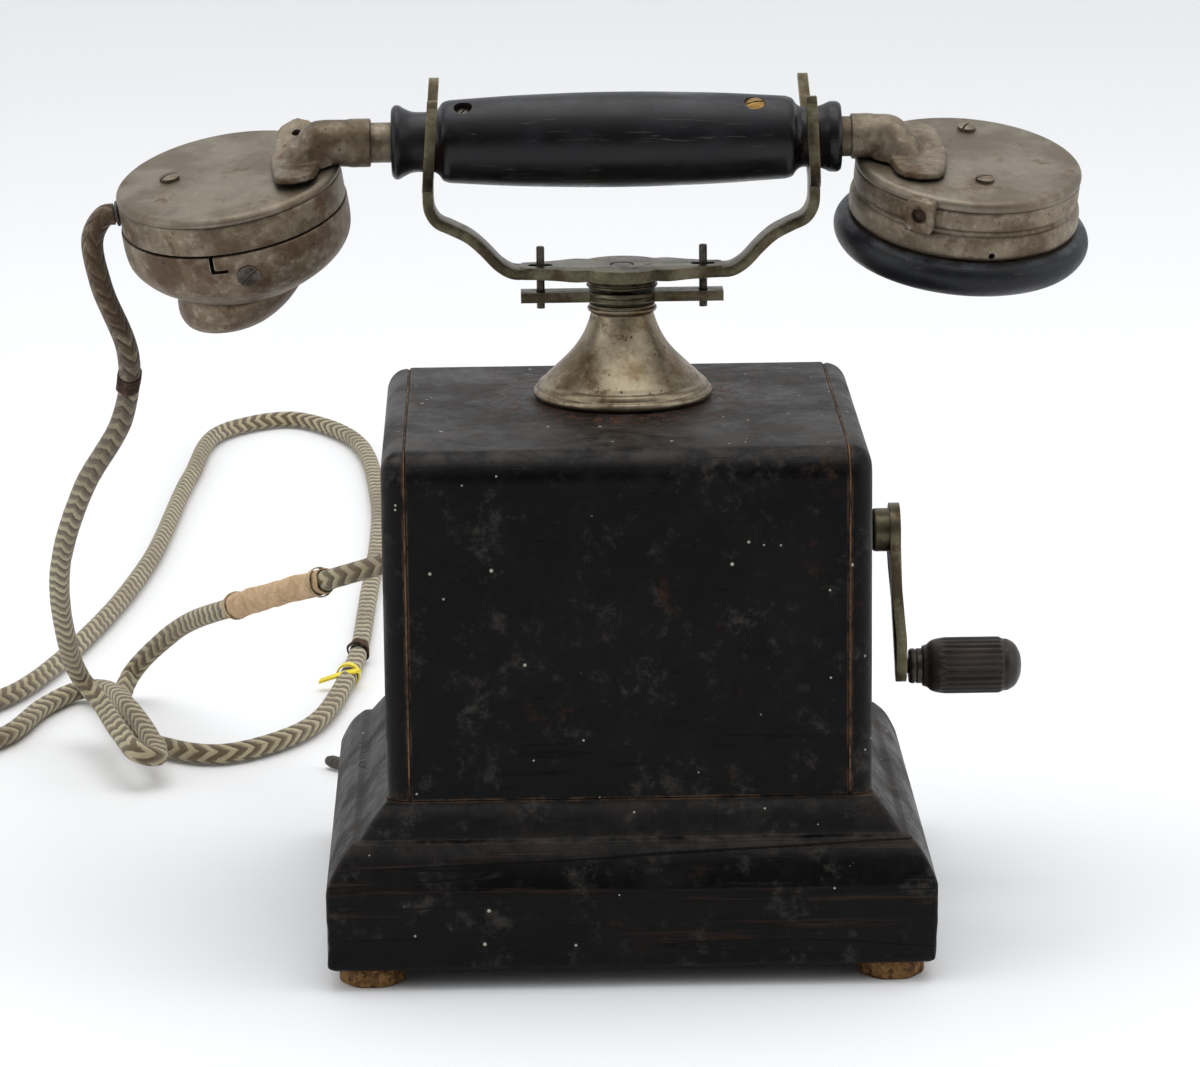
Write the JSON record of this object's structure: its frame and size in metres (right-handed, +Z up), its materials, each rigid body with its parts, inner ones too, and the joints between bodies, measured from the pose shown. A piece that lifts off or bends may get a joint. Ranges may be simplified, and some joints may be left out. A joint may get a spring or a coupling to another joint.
{
  "type": "desk magneto telephone",
  "caption": "Desk telephone with a side crank, a sprung cradle on a pillar, and a handset lying in the cradle's two forks.",
  "frame": {"origin": "on the surface the feet stand on, under the middle of the whole width and of the base's depth", "axes": "+Z up, +X towards the crank and the receiver, +Y towards the back, where the cords leave"},
  "size_m": [0.3379, 0.68, 0.2247],
  "materials": {
    "black_wood": "worn black polish",
    "inner_wood": "bare",
    "cork": "rough",
    "nickel": "worn nickel plate",
    "bronze": "dull",
    "capsule_brass": "oxidised",
    "ebonite": "satin",
    "knob_wood": "dark stain",
    "iron": "plain",
    "brass": "plain",
    "copper": "enamelled winding",
    "cord_braid": "braided cotton"
  },
  "bodies": {
    "base": {"base_plinth": "black_wood", "bottom_board": "inner_wood", "cork_foot_front_left": "cork", "cork_foot_front_right": "cork", "cork_foot_rear_left": "cork", "cork_foot_rear_right": "cork", "case_side_left": "black_wood", "case_side_right": "black_wood", "case_front_top": "black_wood", "case_back": "black_wood", "inner_shelf": "inner_wood", "crank_bush": "brass", "cord_gland": "ebonite", "pillar_bell": "nickel", "guide_bar": "bronze", "guide_pin_left": "bronze", "guide_pin_right": "bronze", "magneto_plate_left": "brass", "magneto_plate_right": "brass", "horseshoe_magnet_left": "iron", "horseshoe_magnet_right": "iron", "pole_piece_front": "iron", "pole_piece_rear": "iron", "induction_coil": "copper", "terminal_strip": "ebonite", "contact_block": "ebonite", "contact_spring": "brass", "gong_left": "brass", "gong_right": "brass", "ringer_frame": "iron", "ringer_coil_left": "copper", "ringer_coil_right": "copper", "handset_cord": "cord_braid", "line_cord": "cord_braid", "line_cord_gland": "ebonite"},
    "handset": {"grip": "ebonite", "handle_tube": "capsule_brass", "elbow_transmitter": "capsule_brass", "elbow_receiver": "capsule_brass", "transmitter_shell": "capsule_brass", "transmitter_cover": "capsule_brass", "mouthpiece": "capsule_brass", "carbon_capsule": "iron", "transmitter_gland": "ebonite", "receiver_shell": "capsule_brass", "ear_cap": "ebonite", "receiver_diaphragm": "iron", "receiver_magnet": "iron", "receiver_coils": "copper", "receiver_boss": "capsule_brass"},
    "cradle": {"cradle_yoke": "bronze", "plunger_rod": "iron"},
    "crank": {"crank_shaft": "iron", "crank_arm": "bronze", "main_gear": "brass", "knob_pin": "iron"},
    "knob": {"crank_knob": "knob_wood"},
    "armature": {"armature": "iron", "pinion": "brass"},
    "clapper": {"clapper": "iron"}
  },
  "joints": [
    {"name": "handset_lift", "type": "slide", "parent": "base", "child": "handset", "axis": [0, 0, 1], "range_m": [0, 0.08]},
    {"name": "cradle_rise", "type": "slide", "parent": "base", "child": "cradle", "axis": [0, 0, 1], "range_m": [0, 0.005]},
    {"name": "crank_turn", "type": "hinge", "parent": "base", "child": "crank", "pos_m": [0.003, 0, 0.105], "axis": [1, 0, 0], "continuous": true},
    {"name": "knob_spin", "type": "hinge", "parent": "crank", "child": "knob", "pos_m": [0.093, 0, 0.0666], "axis": [1, 0, 0], "continuous": true},
    {"name": "armature_spin", "type": "hinge", "parent": "base", "child": "armature", "pos_m": [0.003, 0, 0.0762], "axis": [1, 0, 0], "continuous": true},
    {"name": "clapper_swing", "type": "hinge", "parent": "base", "child": "clapper", "pos_m": [0.003, 0.018, 0.0396], "axis": [0, 0, 1], "range_deg": [-9, 9]}
  ],
  "couplings": [
    {"joint": "cradle_rise", "follows": "handset_lift", "ratio": 0.0625},
    {"joint": "armature_spin", "follows": "crank_turn", "ratio": -4}
  ]
}
